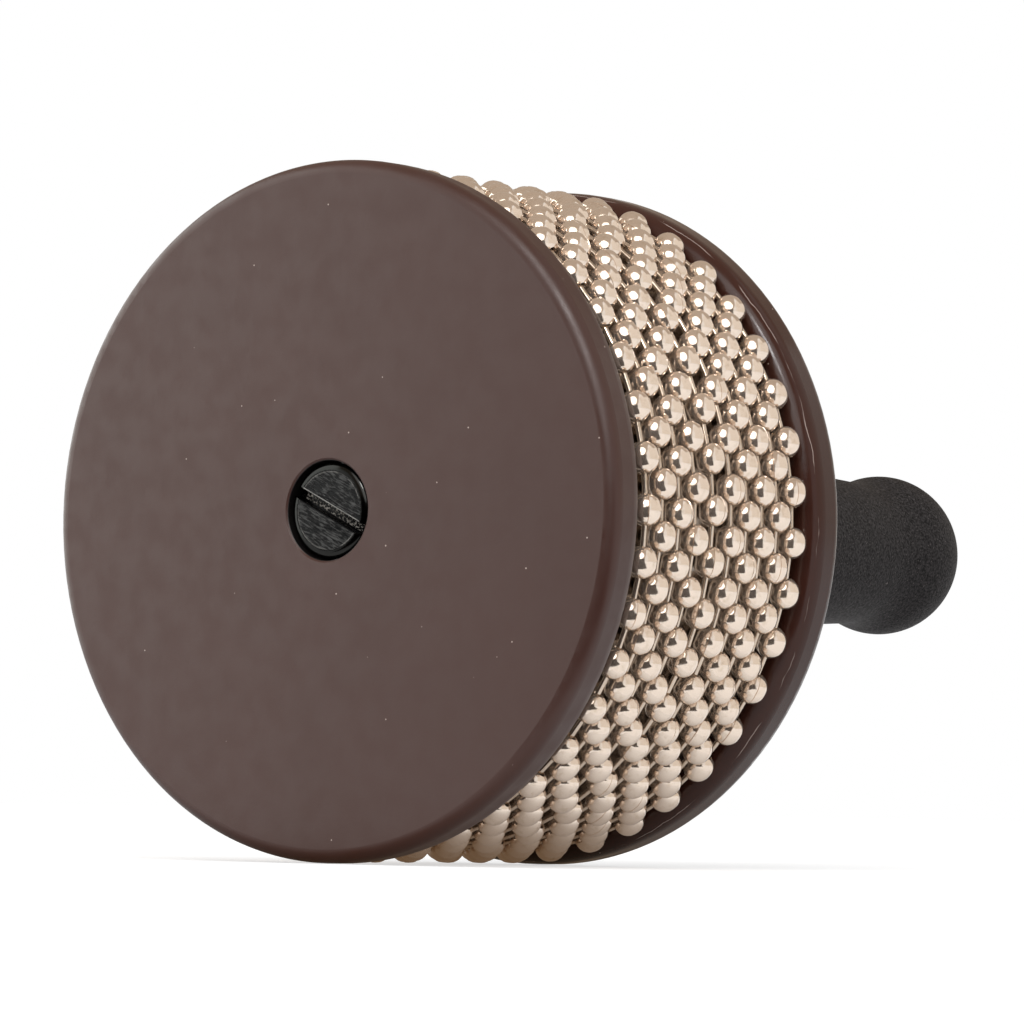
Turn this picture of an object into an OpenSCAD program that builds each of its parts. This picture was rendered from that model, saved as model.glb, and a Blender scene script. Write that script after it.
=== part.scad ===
// Cabasa: a hand percussion instrument. Ten endless loops of ball chain lie round a steel-clad drum
// between two rounded discs, and a foam-covered handle is bolted to the rear disc.
// The instrument lies on the rims of its discs with its axis along Y, front disc towards -Y.
// All sizes are in millimetres.

/* [Discs] */
// Diameter of the front and rear discs
disc_d = 106; // [100:0.5:125]
// Thickness of each disc
disc_t = 7.8; // [7.2:0.1:12]
// Radius of the rim's edge on the outer face
outer_edge_r = 2.1; // [1:0.1:3]
// Radius of the rim's edge on the face towards the drum
inner_edge_r = 3.1; // [1:0.1:3.4]
// Bevel round the mouth of the bolt's well
well_bevel = 0.3; // [0.1:0.05:0.6]

/* [Drum] */
// Distance between the two discs
drum_w = 44.9; // [42:0.1:60]
// Thickness of the rolled steel sheet
sheet_t = 0.6; // [0.4:0.05:1]
// Depth of the groove in each disc that takes the sheet's edge
groove_depth = 0.8; // [0.5:0.1:1.5]

/* [Ball chain] */
// Diameter of a ball
ball_d = 4.65; // [4.2:0.05:5]
// Length of the straight band round a ball's middle
ball_band = 0.35; // [0.1:0.05:0.6]
// Wall of the hollow ball
ball_wall = 0.3; // [0.2:0.05:0.35]
// Distance along the chain from one ball to the next, nearly
ball_pitch = 7.7; // [6.6:0.1:9]
// Diameter of the pin between two balls
link_pin_d = 0.84; // [0.7:0.02:1]
// Diameter of the head at each end of a pin
link_head_d = 1.8; // [1.6:0.05:1.9]
// Gap between the chain and the steel drum
chain_play = 0.35; // [0.3:0.05:1]
// How far the discs' rims stand out beyond the chain
rim_lip = 0.15; // [0.1:0.05:2]
// Free space between the front disc and the first loop
front_play = 1.17; // [0.3:0.01:2]
// Free space between the last loop and the rear disc
rear_play = 0.3; // [0.3:0.01:2]

/* [Bolt] */
// Diameter of the bolt
bolt_d = 8; // [6:0.5:9]
// How far the bolt's tip reaches past the threaded insert
bolt_past_insert = 6.5; // [2:0.5:12]
// Diameter of the slotted head
bolt_head_d = 14.5; // [12:0.1:18]
// Thickness of the head
bolt_head_t = 3.2; // [2.6:0.1:3.6]
// Depth of the head below the front face
head_depth = 0.5; // [0.5:0.1:1.6]
// Width of the screwdriver slot
slot_w = 1.8; // [1.2:0.1:3]
// Depth of the screwdriver slot
slot_depth = 1.8; // [1:0.1:2]
// Slope of the slot across the face, in degrees
slot_angle = 26; // [0:1:90]
// Thickness of the washer under the head
washer_t = 1; // [0.5:0.1:1.2]

/* [Handle] */
// Length of the handle behind the rear disc
handle_len = 106.5; // [90:0.5:130]
// Thickness of the fibre washer between handle and disc
handle_washer_t = 1; // [0.5:0.1:2]
// Diameter of the collar at the handle's root
collar_d = 28.8; // [27:0.1:34]
// Thickness of the collar
collar_t = 3; // [2.5:0.1:5]
// Diameter of the rod inside the grip
rod_d = 18; // [16:0.5:19]
// Diameter of the grip at its waist, near the collar
waist_d = 24.8; // [24:0.1:25.4]
// Diameter of the grip at the swell for the palm
swell_d = 26; // [25.5:0.1:34]
// Diameter of the grip at the neck before its end
neck_d = 24; // [22:0.1:25]
// Radius of the curve along the neck
neck_arc_r = 22; // [15:0.5:30]
// Diameter of the ball at the grip's end
knob_d = 27; // [26.2:0.1:32]
// Thickness of the grip over the end of the rod
end_cover = 9; // [5:0.5:12]

/* [Hidden] */

// Fits: a glued or pressed fit, the bolt in its holes, its head in the well, and a pin in a ball
close_fit = 0.05;
bolt_fit = 0.2;
well_fit = 0.35;
washer_lip = 0.1;
link_fit = 0.28;
head_fit = 0.1;
// How far a cut runs past the face it opens
overrun = 1;

// Wooden dowels that turn each disc with the drum
dowel_count = 3;
dowel_d = 6;
dowel_circle_d = 60;
dowel_in_disc = 4.5;
dowel_in_core = 8;

// Brass insert in the handle's tenon, with the tenon's wall round it
insert_d = 13;
insert_len = 20;
tenon_wall = 1.5;
thread_fit = 0.05;
// Room in the rod beyond the bolt's tip
tip_room = 2;
rod_bevel = 1.5;

// Steel pins that turn the handle with the rear disc
handle_pin_count = 2;
handle_pin_d = 3;
handle_pin_in_disc = 5;
handle_pin_in_collar = 2;

bolt_bevel = 0.4;
// Rounding of the head's edge, across the head and along the axis
head_edge_w = 1.3;
head_edge_t = 0.75;

// The waist lies this far behind the collar
waist_from_collar = 11.5;
// The palm's swell lies at this share of the way from waist to neck
swell_share = 0.5;
// Straight steps in each arc of the grip's outline
arc_steps = 16;

// The loops, counted from the front disc, one node for the balls of each and one for its links
loop_count = 10;
// How far each loop has drifted from its even place along the drum, in shares of the spacing
loop_drift_shares = [0, -0.05, -0.035, -0.055, 0.04, 0.15, 0.09, 0.05, 0.01, 0];
// How far each loop is turned round the drum, in shares of the angle between two balls
loop_turn_shares = [0.98, 0.5, 0.965, 0.48, 0.08, 0.51, 0.02, 0.54, 0.065, 0.58];

disc_r = disc_d / 2;
ball_r = ball_d / 2;
drum_r = disc_r - rim_lip - ball_d - chain_play;
loop_r = drum_r + chain_play + ball_r;
balls_per_loop = round(180 / asin(ball_pitch / 2 / loop_r));
ball_angle = 360 / balls_per_loop;
loop_spacing = (drum_w - front_play - rear_play - ball_d) / (loop_count - 1);

// Places along the axis, from the front face
drum_front = disc_t;
drum_rear = drum_front + drum_w;
rear_face = drum_rear + disc_t;
collar_front = rear_face + handle_washer_t;
collar_rear = collar_front + collar_t;
handle_end = rear_face + handle_len;

core_r = drum_r - sheet_t - close_fit;
bolt_hole_r = bolt_d / 2 + bolt_fit;
bolt_head_r = bolt_head_d / 2;
well_r = bolt_head_r + well_fit;
bolt_seat = head_depth + bolt_head_t + washer_t;
bolt_tip = drum_rear + insert_len + bolt_past_insert;
tenon_r = insert_d / 2 + tenon_wall;
collar_r = collar_d / 2;
rod_r = rod_d / 2;
rod_end = handle_end - end_cover;

// The grip's outline is four arcs, each tangent to the next: the flare behind the collar, the
// palm's swell, the neck and the end ball
knob_r = knob_d / 2;
neck_r = neck_d / 2;
swell_r = swell_d / 2;
waist_r = waist_d / 2;
knob_at = handle_end - knob_r;
neck_to_knob = sqrt(pow(knob_r + neck_arc_r, 2) - pow(neck_r + neck_arc_r, 2));
neck_at = knob_at - neck_to_knob;
waist_at = collar_rear + waist_from_collar;
swell_at = waist_at + (neck_at - waist_at) * swell_share;
neck_run = neck_at - swell_at;
neck_rise = neck_r + neck_arc_r - swell_r;
swell_arc_r = (neck_rise * neck_rise + neck_run * neck_run - neck_arc_r * neck_arc_r)
              / (2 * (swell_r - neck_r));
waist_run = swell_at - waist_at;
waist_rise = waist_r - swell_r + swell_arc_r;
waist_arc_r = (waist_rise * waist_rise + waist_run * waist_run - swell_arc_r * swell_arc_r)
              / (2 * (swell_r - waist_r));
// Where one arc meets the next, along the axis
waist_meets_swell = waist_at + waist_run * waist_arc_r / (waist_arc_r + swell_arc_r);
swell_meets_neck = swell_at + neck_run * swell_arc_r / (swell_arc_r + neck_arc_r);
neck_meets_knob = neck_at + neck_to_knob * neck_arc_r / (neck_arc_r + knob_r);
knob_from = asin((neck_meets_knob - knob_at) / knob_r);
grip_root_r = waist_r + waist_arc_r - sqrt(pow(waist_arc_r, 2) - pow(waist_from_collar, 2));

$fn = 96;

// Stands what is drawn along +Z on its rims, with the axis along +Y and the middle over the origin
module laid_down() {
    translate([0, -handle_end / 2, disc_r]) rotate([-90, 0, 0]) children();
}

// Places children round the axis, count of them, at radius r
module round_axis(count, r, turn = 0) {
    for (i = [0 : count - 1]) rotate(turn + i * 360 / count) translate([r, 0, 0]) children();
}

// Half outline of a disc with a rounded rim, its outer face at zero
module disc_outline() {
    difference() {
        union() {
            square([disc_r - max(outer_edge_r, inner_edge_r), disc_t]);
            square([disc_r - outer_edge_r, disc_t / 2]);
            translate([0, disc_t / 2]) square([disc_r - inner_edge_r, disc_t / 2]);
            translate([0, outer_edge_r]) square([disc_r, disc_t - outer_edge_r - inner_edge_r]);
            translate([disc_r - outer_edge_r, outer_edge_r]) circle(outer_edge_r);
            translate([disc_r - inner_edge_r, disc_t - inner_edge_r]) circle(inner_edge_r);
        }
        // Groove for the edge of the steel sheet
        translate([core_r, disc_t - groove_depth]) square([sheet_t + 2 * close_fit, groove_depth + overrun]);
        translate([-disc_r, -overrun]) square([disc_r, disc_t + 2 * overrun]);
    }
}

// Blind holes for the dowels in a disc's inner face
module dowel_holes() {
    translate([0, 0, disc_t - dowel_in_disc])
        round_axis(dowel_count, dowel_circle_d / 2) cylinder(r = dowel_d / 2, h = dowel_in_disc + overrun);
}

module front_disc() {
    color([0.36, 0.29, 0.27]) laid_down() difference() {
        rotate_extrude() disc_outline();
        dowel_holes();
        translate([0, 0, -overrun]) cylinder(r = bolt_hole_r, h = disc_t + 2 * overrun);
        // The well takes the bolt's head and its washer, with a bevelled mouth
        rotate_extrude() polygon([
            [0, -overrun], [well_r + well_bevel + overrun, -overrun], [well_r, well_bevel],
            [well_r, bolt_seat], [0, bolt_seat]
        ]);
    }
}

module rear_disc() {
    color([0.36, 0.25, 0.22]) laid_down() translate([0, 0, rear_face]) mirror([0, 0, 1]) difference() {
        rotate_extrude() disc_outline();
        dowel_holes();
        translate([0, 0, -overrun]) cylinder(r = tenon_r + close_fit, h = disc_t + 2 * overrun);
        translate([0, 0, -overrun]) handle_pins_at(handle_pin_in_disc + overrun, close_fit);
    }
}

// Turned hardwood block that the steel sheet is wrapped round
module drum_core() {
    color([0.72, 0.55, 0.36]) laid_down() difference() {
        translate([0, 0, drum_front]) cylinder(r = core_r, h = drum_w, $fn = 180);
        translate([0, 0, drum_front - overrun]) cylinder(r = bolt_hole_r, h = drum_w + 2 * overrun);
        translate([0, 0, drum_front - overrun]) round_axis(dowel_count, dowel_circle_d / 2)
            cylinder(r = dowel_d / 2, h = dowel_in_core + overrun);
        translate([0, 0, drum_rear - dowel_in_core]) round_axis(dowel_count, dowel_circle_d / 2)
            cylinder(r = dowel_d / 2, h = dowel_in_core + overrun);
    }
}

// Stainless steel sheet rolled into a tube, its edges held in the discs' grooves
module drum_sheet() {
    color([0.62, 0.62, 0.62]) laid_down() rotate_extrude($fn = 180)
        translate([core_r + close_fit, drum_front - groove_depth])
            square([sheet_t, drum_w + 2 * groove_depth]);
}

// Dowels with one end in a disc and the other in the core
module dowels(from) {
    laid_down() translate([0, 0, from]) round_axis(dowel_count, dowel_circle_d / 2)
        cylinder(r = dowel_d / 2 - close_fit, h = dowel_in_disc + dowel_in_core);
}

module front_dowels() {
    color([0.85, 0.7, 0.48]) dowels(drum_front - dowel_in_disc);
}

module rear_dowels() {
    color([0.85, 0.7, 0.48]) dowels(drum_rear - dowel_in_core);
}

// Long bolt through the drum, with a slotted head and a bevelled tip
module through_bolt() {
    color([0.12, 0.12, 0.12]) laid_down() difference() {
        rotate_extrude() polygon(concat(
            [[0, head_depth]],
            [for (turn = [90 : -15 : 0])
                [bolt_head_r - head_edge_w * (1 - cos(turn)), head_depth + head_edge_t * (1 - sin(turn))]],
            [[bolt_head_r, head_depth + bolt_head_t], [bolt_d / 2, head_depth + bolt_head_t],
             [bolt_d / 2, bolt_tip - bolt_bevel], [bolt_d / 2 - bolt_bevel, bolt_tip], [0, bolt_tip]]
        ));
        rotate(slot_angle) translate([-bolt_head_d, -slot_w / 2, 0])
            cube([2 * bolt_head_d, slot_w, head_depth + slot_depth]);
    }
}

module bolt_washer() {
    color([0.5, 0.5, 0.52]) laid_down() translate([0, 0, head_depth + bolt_head_t]) difference() {
        cylinder(r = bolt_head_r + washer_lip, h = washer_t);
        translate([0, 0, -overrun]) cylinder(r = bolt_hole_r, h = washer_t + 2 * overrun);
    }
}

// Threaded brass insert, drawn at the thread's outer diameter
module threaded_insert() {
    color([0.78, 0.62, 0.3]) laid_down() translate([0, 0, drum_rear]) difference() {
        cylinder(r = insert_d / 2 - close_fit, h = insert_len);
        translate([0, 0, -overrun]) cylinder(r = bolt_d / 2 + thread_fit, h = insert_len + 2 * overrun);
    }
}

// Moulded core of the handle: tenon through the rear disc, collar, and rod inside the grip
module handle_core() {
    color([0.16, 0.16, 0.16]) laid_down() difference() {
        rotate_extrude() polygon([
            [0, drum_rear], [tenon_r, drum_rear], [tenon_r, collar_front], [collar_r, collar_front],
            [collar_r, collar_rear], [rod_r, collar_rear], [rod_r, rod_end - rod_bevel],
            [rod_r - rod_bevel, rod_end], [0, rod_end]
        ]);
        translate([0, 0, drum_rear - overrun]) cylinder(r = insert_d / 2, h = insert_len + overrun);
        translate([0, 0, drum_rear]) cylinder(r = bolt_hole_r, h = bolt_tip + tip_room - drum_rear);
        translate([0, 0, collar_front - overrun]) handle_pins_at(handle_pin_in_collar + overrun, close_fit);
    }
}

// Fibre washer between the collar and the rear disc
module handle_washer() {
    color([0.3, 0.12, 0.08]) laid_down() translate([0, 0, rear_face]) difference() {
        cylinder(r = collar_r, h = handle_washer_t);
        translate([0, 0, -overrun]) cylinder(r = tenon_r + close_fit, h = handle_washer_t + 2 * overrun);
        translate([0, 0, -overrun]) handle_pins_at(handle_washer_t + 2 * overrun, close_fit);
    }
}

// Pins midway between tenon and collar edge, of height h and grown by fit
module handle_pins_at(h, fit = 0) {
    round_axis(handle_pin_count, (tenon_r + collar_r) / 2) cylinder(r = handle_pin_d / 2 + fit, h = h);
}

module handle_pins() {
    color([0.7, 0.7, 0.7]) laid_down() translate([0, 0, rear_face - handle_pin_in_disc])
        handle_pins_at(handle_pin_in_disc + handle_washer_t + handle_pin_in_collar);
}

// Points of an arc that bulges outwards, or inwards where side is -1, between two places along the
// axis. Its centre lies at place at and radius centre.
function arc_points(at, centre, arc_r, side, from, to) = [
    for (i = [1 : arc_steps])
        let (along = from + (to - from) * i / arc_steps - at)
        [centre + side * sqrt(max(0, arc_r * arc_r - along * along)), at + along]
];

module grip_outline() {
    polygon(concat(
        [[rod_r + close_fit, collar_rear], [grip_root_r, collar_rear]],
        arc_points(waist_at, waist_r + waist_arc_r, waist_arc_r, -1, collar_rear, waist_meets_swell),
        arc_points(swell_at, swell_r - swell_arc_r, swell_arc_r, 1, waist_meets_swell, swell_meets_neck),
        arc_points(neck_at, neck_r + neck_arc_r, neck_arc_r, -1, swell_meets_neck, neck_meets_knob),
        [for (i = [1 : 2 * arc_steps])
            let (turn = knob_from + (90 - knob_from) * i / (2 * arc_steps))
            [i == 2 * arc_steps ? 0 : knob_r * cos(turn), knob_at + knob_r * sin(turn)]],
        [[0, rod_end + close_fit], [rod_r + close_fit, rod_end + close_fit]]
    ));
}

// Foam-rubber grip pulled over the rod
module grip_sleeve() {
    color([0.2, 0.2, 0.2]) laid_down() rotate_extrude() grip_outline();
}

function loop_at(k) = drum_front + front_play + ball_r + loop_spacing * (k - 1 + loop_drift_shares[k - 1]);
function loop_turn(k) = -ball_angle * loop_turn_shares[k - 1];

// Two half rounds with a band between them, grown inwards by shrink
module ball_outline(shrink) {
    for (side = [-1, 1]) translate([0, side * ball_band / 2]) circle(ball_r - shrink, $fn = 48);
    square([2 * (ball_r - shrink), ball_band], center = true);
}

// One hollow ball with a hole at each end, along Z
module chain_ball() {
    rotate_extrude($fn = 48) difference() {
        ball_outline(0);
        ball_outline(ball_wall);
        translate([-ball_d, -ball_d]) square([ball_d + link_pin_d / 2 + link_fit, 2 * ball_d]);
    }
}

// One pin with a head caught inside each of two neighbouring balls, along Z
module chain_link() {
    reach = loop_r * sin(ball_angle / 2);
    head_at = reach - (ball_band / 2 + ball_r - ball_wall - link_head_d / 2 - head_fit);
    rotate_extrude($fn = 24) difference() {
        union() {
            translate([0, -head_at]) square([link_pin_d / 2, 2 * head_at]);
            for (side = [-1, 1]) translate([0, side * head_at]) circle(link_head_d / 2, $fn = 24);
        }
        translate([-link_head_d, -2 * reach]) square([link_head_d, 4 * reach]);
    }
}

module chain_balls(k) {
    color([0.79, 0.73, 0.65]) laid_down() translate([0, 0, loop_at(k)])
        round_axis(balls_per_loop, loop_r, loop_turn(k)) rotate([90, 0, 0]) chain_ball();
}

module chain_links(k) {
    color([0.86, 0.83, 0.78]) laid_down() translate([0, 0, loop_at(k)])
        round_axis(balls_per_loop, loop_r * cos(ball_angle / 2), loop_turn(k) + ball_angle / 2)
            rotate([90, 0, 0]) chain_link();
}

front_disc();
rear_disc();
drum_core();
drum_sheet();
front_dowels();
rear_dowels();
through_bolt();
bolt_washer();
threaded_insert();
handle_core();
handle_washer();
handle_pins();
grip_sleeve();
chain_balls(1);  // chain_balls_01
chain_balls(2);  // chain_balls_02
chain_balls(3);  // chain_balls_03
chain_balls(4);  // chain_balls_04
chain_balls(5);  // chain_balls_05
chain_balls(6);  // chain_balls_06
chain_balls(7);  // chain_balls_07
chain_balls(8);  // chain_balls_08
chain_balls(9);  // chain_balls_09
chain_balls(10);  // chain_balls_10
chain_links(1);  // chain_links_01
chain_links(2);  // chain_links_02
chain_links(3);  // chain_links_03
chain_links(4);  // chain_links_04
chain_links(5);  // chain_links_05
chain_links(6);  // chain_links_06
chain_links(7);  // chain_links_07
chain_links(8);  // chain_links_08
chain_links(9);  // chain_links_09
chain_links(10);  // chain_links_10
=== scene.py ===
"""Looks of the cabasa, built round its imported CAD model: materials for the CAD nodes, chain balls
with their seams, the foam grip, the slotted bolt, the studio and the camera."""

import math
import random

import bmesh
import bpy
import numpy as np
from mathutils import Matrix, Vector

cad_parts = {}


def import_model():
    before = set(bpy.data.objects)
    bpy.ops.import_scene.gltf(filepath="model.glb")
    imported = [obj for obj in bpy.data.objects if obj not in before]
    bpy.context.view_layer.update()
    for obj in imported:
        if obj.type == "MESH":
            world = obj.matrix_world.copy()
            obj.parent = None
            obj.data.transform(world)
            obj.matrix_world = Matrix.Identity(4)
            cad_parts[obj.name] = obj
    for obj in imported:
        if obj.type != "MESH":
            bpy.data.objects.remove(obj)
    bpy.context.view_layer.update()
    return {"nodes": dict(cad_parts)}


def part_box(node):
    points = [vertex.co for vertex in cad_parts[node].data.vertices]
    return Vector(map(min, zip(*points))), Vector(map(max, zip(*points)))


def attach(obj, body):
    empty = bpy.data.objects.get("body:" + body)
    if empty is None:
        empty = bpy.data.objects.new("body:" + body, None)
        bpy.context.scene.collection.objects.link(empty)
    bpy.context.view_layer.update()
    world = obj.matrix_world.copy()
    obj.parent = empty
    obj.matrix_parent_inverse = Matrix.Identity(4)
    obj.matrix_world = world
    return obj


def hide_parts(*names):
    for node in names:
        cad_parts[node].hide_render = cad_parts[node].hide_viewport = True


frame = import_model()

MM = 0.001
ROOT = "instrument"

# Places taken from the frame, in metres: the instrument's axis runs along Y at this height
FRONT_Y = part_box("front_disc")[0].y
AXIS_Z = (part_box("front_disc")[0].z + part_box("front_disc")[1].z) / 2

# Chain, in millimetres, as the CAD has it
BALL_R = 2.325
BALL_BAND = 0.35
BALL_WALL = 0.3
BALL_HOLE_R = 0.7
BALLS_PER_LOOP = 41
LOOP_R = 50.525

# Bolt, in millimetres and degrees
WELL_R = 7.6
BOLT_HEAD_R = 7.25
BOLT_HEAD_T = 3.2
BOLT_R = 4
HEAD_DEPTH = 0.5
HEAD_EDGE_W = 1.3
HEAD_EDGE_T = 0.75
SLOT_W = 1.8
SLOT_DEPTH = 1.8
SLOT_ANGLE = 26
SLOT_BREAK = 0.16
TIP_BEVEL = 0.4

# Grip, in millimetres behind the front face and as radii
COLLAR_REAR = (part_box("grip_sleeve")[0].y - FRONT_Y) / MM
HANDLE_END = (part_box("grip_sleeve")[1].y - FRONT_Y) / MM
WAIST_FROM_COLLAR = 11.5
WAIST_R = 12.4
SWELL_R = 13
SWELL_SHARE = 0.5
NECK_R = 12
NECK_ARC_R = 22
KNOB_R = 13.5
ROD_R = 9.05
END_COVER = 8.95


def srgb(red, green, blue):
    """A colour written from 0 to 255, as Blender's linear RGBA."""
    linear = []
    for value in (red, green, blue):
        share = value / 255
        linear.append(share / 12.92 if share <= 0.04045 else ((share + 0.055) / 1.055) ** 2.4)
    return (*linear, 1)


# Materials


def fed(tree, socket, value):
    """Gives a socket a number or colour of its own, or links it to another socket."""
    if isinstance(value, bpy.types.NodeSocket):
        tree.links.new(value, socket)
    else:
        socket.default_value = value


def calculated(tree, operation, *values):
    """The outcome of one sum, each value a number or a socket."""
    made = tree.nodes.new("ShaderNodeMath")
    made.operation = operation
    for socket, value in zip(made.inputs, values):
        fed(tree, socket, value)
    return made.outputs[0]


def smooth_range(tree, source, low, high, to_low=0.0, to_high=1.0):
    """Maps low..high to to_low..to_high, with smooth ends."""
    made = tree.nodes.new("ShaderNodeMapRange")
    made.interpolation_type = "SMOOTHSTEP"
    for socket, value in zip(("From Min", "From Max", "To Min", "To Max"),
                             (low, high, to_low, to_high)):
        made.inputs[socket].default_value = value
    tree.links.new(source, made.inputs["Value"])
    return made.outputs["Result"]


def mixed(tree, share, first, second):
    """Mixes two colours by share. Either may be a socket."""
    made = tree.nodes.new("ShaderNodeMix")
    made.data_type = "RGBA"
    tree.links.new(share, made.inputs["Factor"])
    fed(tree, made.inputs[6], first)
    fed(tree, made.inputs[7], second)
    return made.outputs[2]


class Look:
    """A material being built, with its textures placed in the piece's own metres."""

    def __init__(self, name, **values):
        self.material = bpy.data.materials.new(name)
        self.material.use_nodes = True
        self.tree = self.material.node_tree
        self.shader = self.tree.nodes["Principled BSDF"]
        self.place = self.node("ShaderNodeTexCoord").outputs["Object"]
        for socket, value in values.items():
            self.shader.inputs[socket.replace("_", " ")].default_value = value

    def node(self, kind, **settings):
        made = self.tree.nodes.new(kind)
        for key, value in settings.items():
            setattr(made, key, value)
        return made

    def join(self, source, target):
        self.tree.links.new(source, target)

    def feed(self, socket, source):
        self.join(source, self.shader.inputs[socket])

    def stretched(self, place, scale):
        """The place with each axis scaled, for grain that runs one way."""
        mapping = self.node("ShaderNodeMapping")
        mapping.inputs["Scale"].default_value = scale
        self.join(place, mapping.inputs["Vector"])
        return mapping.outputs["Vector"]

    def split(self, place):
        """The outputs X, Y and Z of a place."""
        made = self.node("ShaderNodeSeparateXYZ")
        self.join(place, made.inputs["Vector"])
        return made.outputs

    def round_axis(self):
        """The place as (metres round the instrument's axis, along it, 0)."""
        at = self.split(self.from_axis())
        turn = calculated(self.tree, "ARCTAN2", at["Z"], at["X"])
        joined = self.node("ShaderNodeCombineXYZ")
        self.join(calculated(self.tree, "MULTIPLY", turn, LOOP_R * MM), joined.inputs["X"])
        self.join(at["Y"], joined.inputs["Y"])
        return joined.outputs["Vector"]

    def from_axis(self):
        """The place with the instrument's axis as its Y axis."""
        shifted = self.node("ShaderNodeVectorMath", operation="SUBTRACT")
        shifted.inputs[1].default_value = (0, 0, AXIS_Z)
        self.join(self.place, shifted.inputs[0])
        return shifted.outputs["Vector"]

    def off_axis(self):
        """Metres out from the instrument's axis."""
        flat = self.node("ShaderNodeVectorMath", operation="MULTIPLY")
        flat.inputs[1].default_value = (1, 0, 1)
        self.join(self.from_axis(), flat.inputs[0])
        length = self.node("ShaderNodeVectorMath", operation="LENGTH")
        self.join(flat.outputs["Vector"], length.inputs[0])
        return length.outputs["Value"]

    def noise(self, size, detail=2, place=None):
        """Clouds about size metres across."""
        made = self.node("ShaderNodeTexNoise")
        made.inputs["Scale"].default_value = 1 / size
        made.inputs["Detail"].default_value = detail
        self.join(place or self.place, made.inputs["Vector"])
        return made.outputs["Fac"]

    def dots(self, spacing, radius, place=None):
        """1 within radius metres of scattered points spacing metres apart, falling to 0 outside."""
        made = self.node("ShaderNodeTexVoronoi")
        made.inputs["Scale"].default_value = 1 / spacing
        self.join(place or self.place, made.inputs["Vector"])
        return self.spread(made.outputs["Distance"], radius / spacing, 0.6 * radius / spacing)

    def spread(self, source, low, high, to_low=0.0, to_high=1.0):
        return smooth_range(self.tree, source, low, high, to_low, to_high)

    def blend(self, share, first, second):
        return mixed(self.tree, share, first, second)

    def sum(self, first, second, weight=1.0):
        """first plus second times weight."""
        return calculated(self.tree, "MULTIPLY_ADD", second, weight, first)

    def times(self, first, second):
        return calculated(self.tree, "MULTIPLY", first, second)

    def bump(self, height, depth):
        """Relief of depth metres."""
        made = self.node("ShaderNodeBump")
        made.inputs["Strength"].default_value = 1
        made.inputs["Distance"].default_value = depth
        self.join(height, made.inputs["Height"])
        self.feed("Normal", made.outputs["Normal"])


DUST = srgb(178, 160, 150)
WELL_PAINTED_SHADE = srgb(14, 11, 10)
# The parting line's pale colour is a painted highlight: light caught along the mould's seam.
PARTING_HIGHLIGHT = srgb(176, 158, 150)
PARTING_FROM_FACE = 1.5
PARTING_HALF = 0.09
PARTING_WOBBLE = 1.2


def parting_line_highlight(look, face_y):
    """A broken painted highlight along where the mould parted, a little behind the face at face_y.
    """
    place = face_y + (PARTING_FROM_FACE + PARTING_WOBBLE / 2) * MM
    wobbly = look.sum(look.split(look.place)["Y"], look.noise(0.006, 3), PARTING_WOBBLE * MM)
    line = look.times(look.spread(wobbly, place - PARTING_HALF * MM, place),
                      look.spread(wobbly, place, place + PARTING_HALF * MM, 1, 0))
    return look.times(line, look.spread(look.noise(0.009, 3), 0.47, 0.6))


def plastic(name, dark, light, gloss, rough_low, rough_high, parting_face=None):
    """Moulded plastic with faint clouds, a fine orange peel, a few specks of dust, painted shade in
    the well, and a painted highlight on the parting line where the place of the face before it is
    given."""
    look = Look(name, Specular_IOR_Level=gloss)
    clouds = look.blend(look.noise(0.02, 3), dark, light)
    colour = look.blend(look.dots(0.0042, 0.00016), clouds, DUST)
    if parting_face is not None:
        # Painted highlight along the parting line.
        colour = look.blend(parting_line_highlight(look, parting_face), colour, PARTING_HIGHLIGHT)
    # Painted shade: the centre well is coloured near black for the shade inside it.
    past_well = look.spread(look.off_axis(), (WELL_R + 0.02) * MM, (WELL_R + 0.08) * MM)
    look.feed("Base Color", look.blend(past_well, WELL_PAINTED_SHADE, colour))
    look.feed("Roughness", look.spread(look.noise(0.004, 4), 0.3, 0.7, rough_low, rough_high))
    look.bump(look.sum(look.noise(0.0011), look.noise(0.00028), 0.35), 0.000014)
    return look.material


def nickel(name, colour, stain, rough_low, rough_high):
    """Bright nickel plate with faint stains and wavy polish."""
    look = Look(name, Metallic=0.84)
    look.feed("Base Color", look.blend(look.spread(look.noise(0.0012, 4), 0.5, 0.8), colour, stain))
    look.feed("Roughness", look.spread(look.noise(0.0006, 4), 0.3, 0.75, rough_low, rough_high))
    look.bump(look.sum(look.noise(0.0012), look.noise(0.00022), 0.12), 0.00001)
    return look.material


def rolled_steel(name):
    """Stainless sheet, brushed round the drum, with a pressed wavy grain that the balls rub on."""
    look = Look(name, Metallic=1)
    place = look.round_axis()
    brushed = look.noise(0.0002, 3, look.stretched(place, (0.03, 1, 1)))
    pressed = look.noise(0.0009, 1, look.stretched(place, (0.7, 1.4, 1)))
    # Painted shade: the sheet is coloured darker than bare steel, for the shade in the gaps between
    # the balls.
    look.feed("Base Color", look.blend(brushed, srgb(140, 131, 122), srgb(166, 156, 147)))
    look.feed("Roughness", look.spread(brushed, 0.3, 0.7, 0.16, 0.26))
    look.bump(look.sum(pressed, brushed, 0.1), 0.00001)
    return look.material


def foam(name):
    """Black foam rubber: matt, with open pores and pale grains."""
    look = Look(name, Specular_IOR_Level=0.1)
    clouds = look.spread(look.noise(0.0004, 3), 0.3, 0.7)
    body = look.blend(clouds, srgb(18, 17, 18), srgb(60, 57, 58))
    grains = look.blend(look.dots(0.0007, 0.00012), body, srgb(94, 89, 88))
    look.feed("Base Color", look.blend(look.dots(0.008, 0.00022), grains, srgb(130, 124, 122)))
    look.feed("Roughness", look.spread(look.noise(0.0005), 0.3, 0.7, 0.55, 0.7))
    look.bump(look.sum(look.noise(0.0005, 3), look.dots(0.0006, 0.0002), -0.5), 0.00016)
    return look.material


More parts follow.
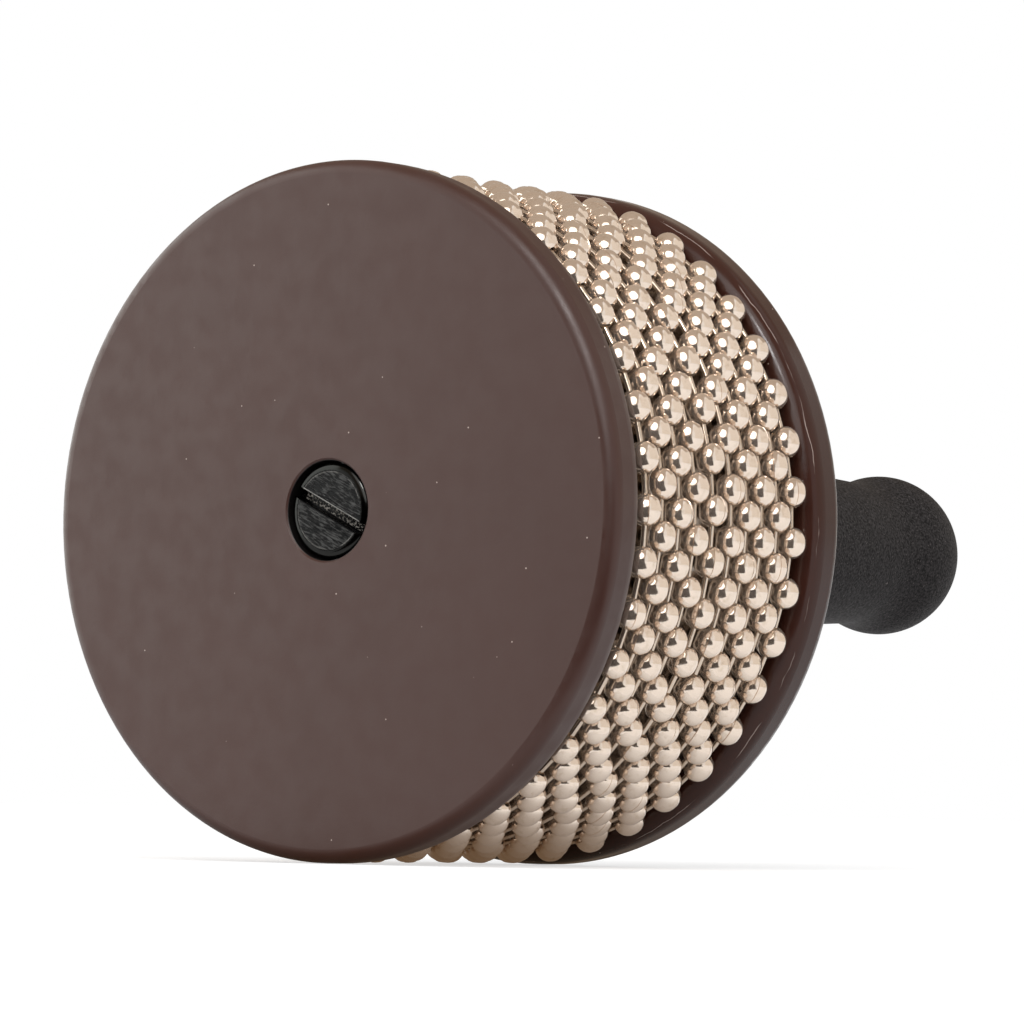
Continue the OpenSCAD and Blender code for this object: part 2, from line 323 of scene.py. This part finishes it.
def moulded_black(name):
    """Black moulded plastic with a fine pebbled surface."""
    look = Look(name, Specular_IOR_Level=0.4)
    relief = look.noise(0.0006, 3)
    raised = look.spread(relief, 0.4, 0.9)
    look.feed("Base Color", look.blend(raised, srgb(10, 10, 11), srgb(30, 30, 32)))
    look.feed("Roughness", look.spread(relief, 0.4, 0.9, 0.34, 0.5))
    look.bump(relief, 0.00004)
    return look.material


def black_bolt(name):
    """Black finish, streaked along the slot on the head's flat and rough on the slot's floor, with
    painted light on that floor, but smooth and bright round the head's edge, and with painted
    highlights along the slot's upper lip and the flat's edge."""
    look = Look(name, Specular_IOR_Level=0.1)
    level = look.node("ShaderNodeVectorRotate", rotation_type="Y_AXIS")
    level.inputs["Angle"].default_value = -math.radians(SLOT_ANGLE)
    look.join(look.from_axis(), level.inputs["Vector"])
    across = look.split(level.outputs["Vector"])["Z"]
    from_middle = calculated(look.tree, "ABSOLUTE", across)
    half = SLOT_W * MM / 2
    flat_r = (BOLT_HEAD_R - HEAD_EDGE_W) * MM
    out = look.off_axis()
    round_edge = look.spread(out, flat_r - 0.1 * MM, flat_r + 0.3 * MM)
    on_flat = look.spread(round_edge, 0, 1, 1, 0)
    off_lip = look.spread(from_middle, half * 1.04, half * 1.3)
    streaks = look.noise(0.00026, 4, look.stretched(level.outputs["Vector"], (0.2, 1, 1)))
    streaks = look.sum(streaks, look.noise(0.0016, 2), 0.5)
    face = look.times(look.times(look.spread(streaks, 0.62, 0.94), on_flat), off_lip)
    on_floor = look.spread(from_middle, half * 0.72, half * 0.88, 1, 0)
    grit_and_painted_light = look.times(look.spread(look.noise(0.0004, 2), 0.46, 0.62), on_floor)
    relief = look.sum(face, grit_and_painted_light)
    grey = look.blend(face, srgb(5, 5, 6), srgb(78, 78, 77))
    # Painted light: the slot's floor, shaded in the recess, is coloured pale where its grit is.
    grey = look.blend(grit_and_painted_light, grey, srgb(176, 170, 162))
    # Painted highlight: a pale line along the slot's upper lip only.
    lip_highlight = look.times(look.spread(across, half * 0.98, half * 1.04),
                     look.spread(across, half * 1.14, half * 1.22, 1, 0))
    grey = look.blend(look.times(lip_highlight, on_flat), grey, srgb(150, 148, 144))
    # Painted highlight: a broken pale ring where the flat meets the rounded edge.
    rim_highlight = look.times(look.spread(out, flat_r - 0.22 * MM, flat_r - 0.12 * MM),
                     look.spread(out, flat_r - 0.08 * MM, flat_r + 0.02 * MM, 1, 0))
    rim_highlight = look.times(rim_highlight, look.spread(look.noise(0.003), 0.4, 0.6))
    grey = look.blend(look.times(rim_highlight, off_lip), grey, srgb(120, 118, 114))
    look.feed("Base Color", look.blend(round_edge, grey, srgb(41, 41, 40)))
    look.feed("Metallic", round_edge)
    look.feed("Roughness", look.spread(relief, 0, 1, 0.14, 0.42))
    look.bump(relief, 0.0002)
    return look.material


def wood(name, dark, light):
    """Turned hardwood with its grain along the axis."""
    look = Look(name, Roughness=0.6)
    grain = look.noise(0.0012, 5, look.stretched(look.place, (1, 0.08, 1)))
    look.feed("Base Color", look.blend(look.spread(grain, 0.3, 0.7), dark, light))
    look.bump(grain, 0.00005)
    return look.material


def worn_metal(name, dark, light, rough):
    """Plain cast or plated metal, a little mottled."""
    look = Look(name, Metallic=1)
    mottle = look.noise(0.0015, 4)
    look.feed("Base Color", look.blend(mottle, dark, light))
    look.feed("Roughness", look.spread(mottle, 0.3, 0.7, rough, rough + 0.15))
    look.bump(mottle, 0.00001)
    return look.material


def fibre(name):
    """Pressed red-brown fibre."""
    look = Look(name)
    flecks = look.noise(0.0008, 4)
    look.feed("Base Color", look.blend(flecks, srgb(70, 30, 22), srgb(110, 58, 42)))
    look.feed("Roughness", look.spread(flecks, 0.3, 0.7, 0.6, 0.85))
    look.bump(flecks, 0.00005)
    return look.material


FRONT_PLASTIC = plastic("front_plastic", srgb(61, 30, 21), srgb(66, 34, 25), 0.5, 0.4, 0.5)
REAR_PLASTIC = plastic("rear_plastic", srgb(58, 31, 24), srgb(64, 36, 28), 0.26, 0.16, 0.26,
                       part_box("rear_disc")[0].y)
BALL_NICKEL = nickel("ball_nickel", srgb(230, 214, 199), srgb(217, 199, 180), 0.1, 0.18)
LINK_NICKEL = nickel("link_nickel", srgb(204, 188, 172), srgb(182, 164, 144), 0.12, 0.24)
NODE_LOOKS = {
    "front_disc": FRONT_PLASTIC,
    "rear_disc": REAR_PLASTIC,
    "drum_core": wood("core_wood", srgb(150, 108, 70), srgb(196, 152, 104)),
    "drum_sheet": rolled_steel("drum_steel"),
    "front_dowels": wood("dowel_wood", srgb(190, 150, 100), srgb(222, 188, 140)),
    "bolt_washer": worn_metal("zinc_steel", srgb(120, 120, 122), srgb(168, 168, 170), 0.3),
    "threaded_insert": worn_metal("insert_brass", srgb(176, 136, 70), srgb(206, 168, 96), 0.25),
    "handle_core": moulded_black("handle_plastic"),
    "handle_washer": fibre("fibre_washer"),
}
NODE_LOOKS["rear_dowels"] = NODE_LOOKS["front_dowels"]
NODE_LOOKS["handle_pins"] = NODE_LOOKS["bolt_washer"]


def dress(obj, look):
    """Gives an object one material, in each slot it has."""
    if not obj.material_slots:
        obj.data.materials.append(look)
    for each in obj.material_slots:
        each.material = look


# Meshes


def new_piece(name, verts, faces, look):
    """An object of these corners and faces, its faces turned outwards."""
    mesh = bpy.data.meshes.new(name)
    mesh.from_pydata(verts, [], faces)
    shape = bmesh.new()
    shape.from_mesh(mesh)
    bmesh.ops.recalc_face_normals(shape, faces=shape.faces)
    shape.to_mesh(mesh)
    shape.free()
    piece = bpy.data.objects.new(name, mesh)
    bpy.context.scene.collection.objects.link(piece)
    dress(piece, look)
    return piece


def shade_smooth(mesh, crease):
    """Smooth shading, but for edges that fold by more than crease degrees."""
    shape = bmesh.new()
    shape.from_mesh(mesh)
    for face in shape.faces:
        face.smooth = True
    for edge in shape.edges:
        edge.smooth = edge.calc_face_angle(math.pi) < math.radians(crease)
    shape.to_mesh(mesh)
    shape.free()


def lathe(name, outline, segments, look, closed=False):
    """Turns an outline of (radius, place behind the front face), in millimetres, round the axis."""
    verts = []
    rings = []
    for radius, along in outline:
        count = segments if radius > 0 else 1
        rings.append(range(len(verts), len(verts) + count))
        for i in range(count):
            turn = 2 * math.pi * i / segments
            verts.append((radius * math.cos(turn) * MM, FRONT_Y + along * MM,
                          AXIS_Z + radius * math.sin(turn) * MM))
    faces = []
    for here, there in zip(rings, rings[1:] + (rings[:1] if closed else [])):
        for i in range(segments):
            j = (i + 1) % segments
            corners = (here[i % len(here)], here[j % len(here)],
                       there[j % len(there)], there[i % len(there)])
            face = list(dict.fromkeys(corners))
            if len(face) > 2:
                faces.append(face)
    return new_piece(name, verts, faces, look)


def bake_modifiers(piece):
    """Replaces the piece's mesh by what its modifiers make of it."""
    depsgraph = bpy.context.evaluated_depsgraph_get()
    made = bpy.data.meshes.new_from_object(piece.evaluated_get(depsgraph))
    piece.modifiers.clear()
    piece.data = made


# The chains: seams and lips in millimetres, angles in degrees


SEAM_HALF_ANGLE = 1.7
SEAM_DEPTH = 0.14
SEAM_COLUMNS = 3
BALL_COLUMNS = 26
OUTER_RINGS = 14
INNER_RINGS = 6
LIP = 0.1
MAX_TILT = 2.5
SEED = 41


def capsule_arc(radius, hole_r, rings, way):
    """Points (radius, place along the chain) of a ball's half outline from hole to hole, its two
    halves drawn apart by the band between them. way is 1 for along the chain, -1 for back."""
    points = []
    for i in range(rings + 1):
        tilt = way * math.acos(hole_r / radius) * (2 * i / rings - 1)
        side = math.copysign(BALL_BAND / 2, tilt) if i != rings / 2 else 0
        points.append((radius * math.cos(tilt), side + radius * math.sin(tilt)))
    return points


def ball_outline():
    """The outline of a hollow ball, out and back inside, and how many points are outside."""
    outer = capsule_arc(BALL_R, BALL_HOLE_R + LIP, OUTER_RINGS, 1)
    inner = capsule_arc(BALL_R - BALL_WALL, BALL_HOLE_R, INNER_RINGS, -1)
    return outer + inner, len(outer)


def ball_shape():
    """Corners and faces of one ball, its chain axis along Z and its seam at angle 0, with each
    corner's column and ring, and how many rings are outside."""
    outline, outside = ball_outline()
    turns = [-SEAM_HALF_ANGLE, 0, SEAM_HALF_ANGLE]
    rest = 360 - 2 * SEAM_HALF_ANGLE
    turns += [SEAM_HALF_ANGLE + rest * i / BALL_COLUMNS for i in range(1, BALL_COLUMNS)]
    verts = []
    for turn in turns:
        for i, (radius, along) in enumerate(outline):
            groove = SEAM_DEPTH if turn == 0 and i < outside else 0
            verts.append(((radius - groove) * math.cos(math.radians(turn)),
                          (radius - groove) * math.sin(math.radians(turn)), along))
    faces = []
    rings = len(outline)
    for column in range(len(turns)):
        here = column * rings
        there = (column + 1) % len(turns) * rings
        for i in range(rings):
            j = (i + 1) % rings
            faces.append((here + i, there + i, there + j, here + j))
    column_of = np.repeat(np.arange(len(turns)), rings)
    ring_of = np.tile(np.arange(rings), len(turns))
    return np.array(verts), np.array(faces), column_of, ring_of, outside


def loop_phase(node):
    """Angle of one ball of a loop, from the CAD node: all its balls repeat round the axis."""
    count = len(node.data.vertices)
    places = np.zeros(count * 3)
    node.data.vertices.foreach_get("co", places)
    places = places.reshape(-1, 3)
    turn = np.arctan2(places[:, 2] - AXIS_Z, places[:, 0])
    return float(np.angle(np.exp(1j * BALLS_PER_LOOP * turn).mean())) / BALLS_PER_LOOP


def turned(axis, angle):
    """Rotation matrix about a unit axis."""
    x, y, z = axis
    cross = np.array([[0, -z, y], [z, 0, -x], [-y, x, 0]])
    return np.eye(3) + math.sin(angle) * cross + (1 - math.cos(angle)) * cross @ cross


def chain_balls(number, chance):
    """The balls of one loop, each turned on the chain by chance so that its seam may show."""
    node = frame["nodes"][f"chain_balls_{number:02d}"]
    loop_y = (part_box(node.name)[0].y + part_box(node.name)[1].y) / 2
    corners, faces, column_of, ring_of, outside = ball_shape()
    phase = loop_phase(node)
    all_verts = []
    all_faces = []
    for i in range(BALLS_PER_LOOP):
        turn = phase + 2 * math.pi * i / BALLS_PER_LOOP
        outward = np.array([math.cos(turn), 0, math.sin(turn)])
        chain = np.array([-math.sin(turn), 0, math.cos(turn)])
        across = np.cross(chain, outward)
        basis = np.column_stack([outward, across, chain])
        spin = turned(chain, chance.uniform(-math.pi, math.pi))
        lean = turned(outward, math.radians(chance.uniform(-MAX_TILT, MAX_TILT)))
        centre = np.array([0, loop_y, AXIS_Z]) + outward * LOOP_R * MM
        placed = (lean @ spin @ basis @ (corners.T * MM)).T + centre
        all_faces.append(faces + len(all_verts) * len(corners))
        all_verts.append(placed)
    mesh = bpy.data.meshes.new(node.name)
    mesh.from_pydata(np.concatenate(all_verts).tolist(), [], np.concatenate(all_faces).tolist())
    mesh.shade_smooth()
    ends = np.zeros(len(mesh.edges) * 2, int)
    mesh.edges.foreach_get("vertices", ends)
    ends = ends.reshape(-1, 2) % len(corners)
    same_column = column_of[ends[:, 0]] == column_of[ends[:, 1]]
    same_ring = ring_of[ends[:, 0]] == ring_of[ends[:, 1]]
    seam = same_column & (column_of[ends[:, 0]] < SEAM_COLUMNS)
    hole = same_ring & np.isin(ring_of[ends[:, 0]], (0, outside - 1, outside, ring_of.max()))
    sharp = mesh.attributes.new("sharp_edge", "BOOLEAN", "EDGE")
    sharp.data.foreach_set("value", seam | hole)
    piece = bpy.data.objects.new(f"balls_{number:02d}", mesh)
    bpy.context.scene.collection.objects.link(piece)
    dress(piece, BALL_NICKEL)
    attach(piece, f"loop_{number:02d}")
    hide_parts(node.name)


# The grip


ARC_STEPS = 24
KNOB_STEPS = 48
GRIP_SEGMENTS = 128


def arc(at, centre, radius, side, start, end):
    """Points of an arc that bulges outwards (side 1) or inwards (side -1) between two places."""
    points = []
    for i in range(1, ARC_STEPS + 1):
        along = start + (end - start) * i / ARC_STEPS - at
        points.append((centre + side * math.sqrt(max(0, radius**2 - along**2)), at + along))
    return points


def grip_outline():
    """Four arcs, each tangent to the next: flare, swell, neck and end ball, then the bore."""
    knob_at = HANDLE_END - KNOB_R
    neck_to_knob = math.sqrt((KNOB_R + NECK_ARC_R) ** 2 - (NECK_R + NECK_ARC_R) ** 2)
    neck_at = knob_at - neck_to_knob
    waist_at = COLLAR_REAR + WAIST_FROM_COLLAR
    swell_at = waist_at + (neck_at - waist_at) * SWELL_SHARE
    neck_run = neck_at - swell_at
    neck_rise = NECK_R + NECK_ARC_R - SWELL_R
    swell_arc = (neck_rise**2 + neck_run**2 - NECK_ARC_R**2) / (2 * (SWELL_R - NECK_R))
    waist_run = swell_at - waist_at
    waist_rise = WAIST_R - SWELL_R + swell_arc
    waist_arc = (waist_rise**2 + waist_run**2 - swell_arc**2) / (2 * (SWELL_R - WAIST_R))
    waist_meets_swell = waist_at + waist_run * waist_arc / (waist_arc + swell_arc)
    swell_meets_neck = swell_at + neck_run * swell_arc / (swell_arc + NECK_ARC_R)
    neck_meets_knob = neck_at + neck_to_knob * NECK_ARC_R / (NECK_ARC_R + KNOB_R)
    root_r = WAIST_R + waist_arc - math.sqrt(waist_arc**2 - WAIST_FROM_COLLAR**2)
    points = [(root_r, COLLAR_REAR)]
    points += arc(waist_at, WAIST_R + waist_arc, waist_arc, -1, COLLAR_REAR, waist_meets_swell)
    points += arc(swell_at, SWELL_R - swell_arc, swell_arc, 1, waist_meets_swell, swell_meets_neck)
    points += arc(neck_at, NECK_R + NECK_ARC_R, NECK_ARC_R, -1, swell_meets_neck, neck_meets_knob)
    knob_from = math.asin((neck_meets_knob - knob_at) / KNOB_R)
    for i in range(1, KNOB_STEPS + 1):
        turn = knob_from + (math.pi / 2 - knob_from) * i / KNOB_STEPS
        radius = 0 if i == KNOB_STEPS else KNOB_R * math.cos(turn)
        points.append((radius, knob_at + KNOB_R * math.sin(turn)))
    rod_end = HANDLE_END - END_COVER
    return points + [(0, rod_end), (ROD_R, rod_end), (ROD_R, COLLAR_REAR)]


def grip():
    piece = lathe("grip", grip_outline(), GRIP_SEGMENTS, foam("grip_foam"), closed=True)
    shade_smooth(piece.data, 40)
    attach(piece, ROOT)
    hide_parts("grip_sleeve")


# The bolt


EDGE_STEPS = 8
BOLT_SEGMENTS = 96
CUT_FROM = -2


def bolt_outline():
    tip = (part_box("through_bolt")[1].y - FRONT_Y) / MM
    outline = [(0, HEAD_DEPTH)]
    for i in range(EDGE_STEPS + 1):
        turn = math.pi / 2 * (1 - i / EDGE_STEPS)
        outline.append((BOLT_HEAD_R - HEAD_EDGE_W * (1 - math.cos(turn)),
                        HEAD_DEPTH + HEAD_EDGE_T * (1 - math.sin(turn))))
    under_head = HEAD_DEPTH + BOLT_HEAD_T
    return outline + [(BOLT_HEAD_R, under_head), (BOLT_R, under_head), (BOLT_R, tip - TIP_BEVEL),
                      (BOLT_R - TIP_BEVEL, tip), (0, tip)]


def slot_cutter(look):
    """A slanting bar as wide as the slot, from before the head to the slot's floor."""
    slope = -math.radians(SLOT_ANGLE)
    half_length = BOLT_HEAD_R * 1.5
    corners = []
    for x in (-half_length, half_length):
        for along in (CUT_FROM, HEAD_DEPTH + SLOT_DEPTH):
            for z in (-SLOT_W / 2, SLOT_W / 2):
                corners.append(((x * math.cos(slope) - z * math.sin(slope)) * MM,
                                FRONT_Y + along * MM,
                                AXIS_Z + (x * math.sin(slope) + z * math.cos(slope)) * MM))
    sides = [(0, 1, 3, 2), (4, 6, 7, 5), (0, 4, 5, 1), (2, 3, 7, 6), (0, 2, 6, 4), (1, 5, 7, 3)]
    return new_piece("slot_cutter", corners, sides, look)


def bolt():
    """The slotted bolt, with its head's edge rounded and the slot's edges broken."""
    look = black_bolt("black_bolt")
    piece = lathe("bolt", bolt_outline(), BOLT_SEGMENTS, look)
    cutter = slot_cutter(look)
    cut = piece.modifiers.new("slot", "BOOLEAN")
    cut.operation = "DIFFERENCE"
    cut.solver = "EXACT"
    cut.object = cutter
    broken = piece.modifiers.new("edges", "BEVEL")
    broken.width = SLOT_BREAK * MM
    broken.segments = 2
    broken.limit_method = "ANGLE"
    broken.angle_limit = math.radians(50)
    bake_modifiers(piece)
    bpy.data.objects.remove(cutter)
    shade_smooth(piece.data, 35)
    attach(piece, ROOT)
    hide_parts("through_bolt")


# The studio


CAMERA_AZIMUTH = 36.61
CAMERA_ELEVATION = -2.732
CAMERA_ROLL = 1.0
CAMERA_DISTANCE = 0.922
CAMERA_LENS = 209.03
CAMERA_SENSOR = 36
TARGET = Vector((0, -0.04783, 0.053))
AIM_RIGHT = 0.006771
AIM_UP = 0.001638

# Light on the object, where 1 is white, and the table
FILL = 0.72
FILL_WHITE = (1, 0.99, 0.98, 1)
FLOOR_GREY = (0.55, 0.55, 0.55, 1)
FLOOR_GLOW = 0.62
FLOOR_HALF = 6
FLOOR_Z = -0.00005

# The key lamp, which lies this way from the target by the camera's right, up and back
KEY_WAY = (-0.168, 0.652, 0.738)
KEY_DISTANCE = 1.07
KEY_SIZE = 1.0
KEY_RADIANCE = 2.6
HOT_DISTANCE = 1.0
HOT_R = 0.1
HOT_CORNERS = 24
HOT_RADIANCE = 30

# What shows in reflections alone
ROOM = srgb(36, 24, 20)
CEILING = srgb(181, 165, 148)
RIGHT_WALL = srgb(246, 238, 228)
PANEL = (0.97, 1, 0.97, 1)
PANEL_RADIANCE = 2.9
SHADE = srgb(118, 98, 78)
SHADE_MIDDLE = 0.002
SHADE_REACH = 0.06
SHADE_LENGTH = 0.1
SHADE_Z = 0.0001

# The room round the photographer: each card's colour and corners, from the ground under the
# target by metres to the camera's right, towards the camera and up
ROOM_CARDS = [
    ("room_wall", ROOM, [(-5.2, 3, -1), (1.15, 3, -1), (1.15, 3, 0.95), (-5.2, 3, 0.95)]),
    ("room_floor", ROOM,
     [(-0.2, 0.08, 0.0002), (0.08, 0.1, 0.0002), (1.1, 2.9, 0.0002), (-5.2, 2.9, 0.0002)]),
    ("upper_wall", CEILING, [(-5.2, 3, 0.95), (1.15, 3, 0.95), (2.2, 3, 3), (-5.2, 3, 3)]),
    ("ceiling", CEILING,
     [(-5.2, 3, 3), (2.2, 3, 3), (1.3, 0.45, 3), (1.3, -2.4, 3), (-5.2, -2.4, 3)]),
    ("back_ceiling", CEILING,
     [(-5.2, -0.4, 1.6), (1.8, -0.4, 1.6), (2.6, -7, 1.6), (-5.2, -7, 1.6)]),
    ("right_wall", RIGHT_WALL, [(3.2, 3, -1), (3.2, -7, -1), (3.2, -7, 5), (3.2, 3, 5)]),
]
SIDE_PANEL = [(-0.46, -0.8, -0.3), (-0.46, 0.166, -0.3), (-0.46, 0.166, 0.5), (-0.46, -0.8, 0.5)]


def camera_axes():
    """Unit vectors to the camera's right, up, and back from the target to the camera."""
    a = math.radians(CAMERA_AZIMUTH)
    e = math.radians(CAMERA_ELEVATION)
    back = Vector((math.sin(a) * math.cos(e), -math.cos(a) * math.cos(e), math.sin(e)))
    right = Vector((math.cos(a), math.sin(a), 0))
    return right, back.cross(right), back


def way_to(direction):
    """Unit vector from the target by the camera's right, up and back."""
    right, up, back = camera_axes()
    return (right * direction[0] + up * direction[1] + back * direction[2]).normalized()


def placed(corners):
    """Corners of a card, as ROOM_CARDS gives them, in the frame."""
    right, up, back = camera_axes()
    level_back = Vector((back.x, back.y, 0)).normalized()
    ground = Vector((TARGET.x, TARGET.y, 0))
    return [ground + right * x + level_back * y + Vector((0, 0, z)) for x, y, z in corners]


def camera():
    right, up, back = camera_axes()
    data = bpy.data.cameras.new("camera")
    data.lens = CAMERA_LENS
    data.sensor_width = CAMERA_SENSOR
    data.clip_start = 0.05
    data.clip_end = 20
    made = bpy.data.objects.new("camera", data)
    bpy.context.scene.collection.objects.link(made)
    made.location = TARGET + back * CAMERA_DISTANCE
    aim = TARGET + right * AIM_RIGHT + up * AIM_UP
    made.rotation_mode = "QUATERNION"
    level = (aim - made.location).to_track_quat("-Z", "Y")
    roll = Matrix.Rotation(math.radians(CAMERA_ROLL), 3, "Z").to_quaternion()
    made.rotation_quaternion = level @ roll
    bpy.context.scene.camera = made


def plain_material(name, colour, strength):
    """A material that only gives off an even colour."""
    material = bpy.data.materials.new(name)
    material.use_nodes = True
    tree = material.node_tree
    tree.nodes.clear()
    glow = tree.nodes.new("ShaderNodeEmission")
    glow.inputs["Color"].default_value = colour
    glow.inputs["Strength"].default_value = strength
    out = tree.nodes.new("ShaderNodeOutputMaterial")
    tree.links.new(glow.outputs[0], out.inputs["Surface"])
    return material


def seen_directly(tree):
    """A socket that is 1 for rays from the camera, in reflections and through glass."""
    path = tree.nodes.new("ShaderNodeLightPath")
    total = path.outputs["Is Camera Ray"]
    for name in ("Is Glossy Ray", "Is Transmission Ray"):
        total = calculated(tree, "MAXIMUM", total, path.outputs[name])
    return total


def world():
    """White where it is seen, and a softer fill on what it lights."""
    made = bpy.data.worlds.new("studio")
    bpy.context.scene.world = made
    made.use_nodes = True
    tree = made.node_tree
    fill = tree.nodes["Background"]
    fill.inputs["Color"].default_value = FILL_WHITE
    fill.inputs["Strength"].default_value = FILL
    white = tree.nodes.new("ShaderNodeBackground")
    white.inputs["Color"].default_value = (1, 1, 1, 1)
    mix = tree.nodes.new("ShaderNodeMixShader")
    tree.links.new(seen_directly(tree), mix.inputs["Fac"])
    tree.links.new(fill.outputs[0], mix.inputs[1])
    tree.links.new(white.outputs[0], mix.inputs[2])
    tree.links.new(mix.outputs[0], tree.nodes["World Output"].inputs["Surface"])


def floor():
    """A white table that also glows a little where it is seen, so that only shadows show on it."""
    material = bpy.data.materials.new("floor")
    material.use_nodes = True
    tree = material.node_tree
    shader = tree.nodes["Principled BSDF"]
    shader.inputs["Base Color"].default_value = FLOOR_GREY
    shader.inputs["Roughness"].default_value = 0.9
    shader.inputs["Specular IOR Level"].default_value = 0
    glow = tree.nodes.new("ShaderNodeEmission")
    share = calculated(tree, "MULTIPLY", seen_directly(tree), FLOOR_GLOW)
    tree.links.new(share, glow.inputs["Strength"])
    both = tree.nodes.new("ShaderNodeAddShader")
    tree.links.new(shader.outputs[0], both.inputs[0])
    tree.links.new(glow.outputs[0], both.inputs[1])
    tree.links.new(both.outputs[0], tree.nodes["Material Output"].inputs["Surface"])
    half, z = FLOOR_HALF, FLOOR_Z
    corners = [(-half, -half, z), (half, -half, z), (half, half, z), (-half, half, z)]
    new_piece("floor", corners, [(0, 1, 2, 3)], material)


def reflected_only(made):
    """Makes an object part of the stage that shows only in what is glossy."""
    made.visible_camera = False
    made.visible_diffuse = False
    made.visible_shadow = False
    made.visible_transmission = False


def card(name, corners, colour, strength=1):
    """A flat card that shows in reflections alone."""
    reflected_only(new_piece(name, corners, [tuple(range(len(corners)))],
                             plain_material(name, colour, strength)))


def floor_shade():
    """The instrument's own shade on the table as its undersides show it, deepest below the axis."""
    material = plain_material("floor_shade", SHADE, 1)
    tree = material.node_tree
    place = tree.nodes.new("ShaderNodeSeparateXYZ")
    tree.links.new(tree.nodes.new("ShaderNodeTexCoord").outputs["Object"], place.inputs["Vector"])
    off = calculated(tree, "ABSOLUTE", place.outputs["X"])
    share = smooth_range(tree, off, SHADE_MIDDLE, SHADE_REACH)
    colour = mixed(tree, share, SHADE, (1, 1, 1, 1))
    tree.links.new(colour, tree.nodes["Emission"].inputs["Color"])
    reach, length, z = SHADE_REACH, SHADE_LENGTH, SHADE_Z
    corners = [(-reach, -length, z), (reach, -length, z), (reach, 0, z), (-reach, 0, z)]
    reflected_only(new_piece("floor_shade", corners, [(0, 1, 2, 3)], material))


def key_lamp():
    """A round area lamp, aimed at the target."""
    way = way_to(KEY_WAY)
    data = bpy.data.lights.new("key", "AREA")
    data.shape = "DISK"
    data.size = KEY_SIZE
    data.energy = KEY_RADIANCE * math.pi * math.pi * KEY_SIZE**2 / 4
    made = bpy.data.objects.new("key", data)
    bpy.context.scene.collection.objects.link(made)
    made.location = TARGET + way * KEY_DISTANCE
    made.rotation_mode = "QUATERNION"
    made.rotation_quaternion = way.to_track_quat("Z", "Y")
    made.visible_camera = False


def hot_middle():
    """The hot middle of the key lamp, which the balls mirror as round glints."""
    way = way_to(KEY_WAY)
    middle = TARGET + way * HOT_DISTANCE
    side = way.cross(camera_axes()[1]).normalized()
    top = side.cross(way)
    corners = []
    for i in range(HOT_CORNERS):
        turn = 2 * math.pi * i / HOT_CORNERS
        corners.append(middle + (side * math.cos(turn) + top * math.sin(turn)) * HOT_R)
    card("hot_middle", corners, (1, 1, 1, 1), HOT_RADIANCE)


def studio():
    world()
    floor()
    key_lamp()
    for name, colour, corners in ROOM_CARDS:
        card(name, placed(corners), colour)
    floor_shade()
    hot_middle()
    # The bright panel whose soft edge runs over the front disc
    card("side_panel", placed(SIDE_PANEL), PANEL, PANEL_RADIANCE)


# Everything together

for node_name, node_look in NODE_LOOKS.items():
    dress(frame["nodes"][node_name], node_look)
chance = random.Random(SEED)
loops = sorted(name for name in frame["nodes"] if name.startswith("chain_balls_"))
for loop in loops:
    chain_balls(int(loop[-2:]), chance)
    dress(frame["nodes"][loop.replace("balls", "links")], LINK_NICKEL)
grip()
bolt()
studio()
camera()
bpy.context.scene.view_settings.view_transform = "Standard"
